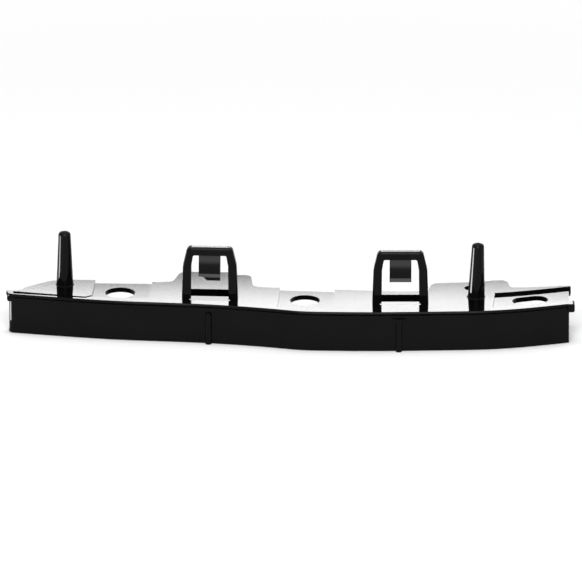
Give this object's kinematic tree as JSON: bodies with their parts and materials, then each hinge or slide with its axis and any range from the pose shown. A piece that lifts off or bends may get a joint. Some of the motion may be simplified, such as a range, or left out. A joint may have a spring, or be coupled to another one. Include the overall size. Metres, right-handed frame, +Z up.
{
  "type": "bumper mounting bracket",
  "caption": "Curved L-section bumper mounting bracket in black moulded plastic, with clip towers, locating pins and recessed screw pads on its shelf.",
  "frame": {"origin": "middle of the part's footprint, at the height of the front wall's foot", "axes": "+X runs along the strip to its slotted end, +Y points from the front wall to the back of the shelf, +Z points up along the pins"},
  "size_m": [0.285, 0.0592, 0.0501],
  "materials": {
    "body_plastic": "smooth moulded black, glossy on the shelf"
  },
  "bodies": {
    "root": {"bracket_body": "body_plastic"}
  },
  "joints": []
}
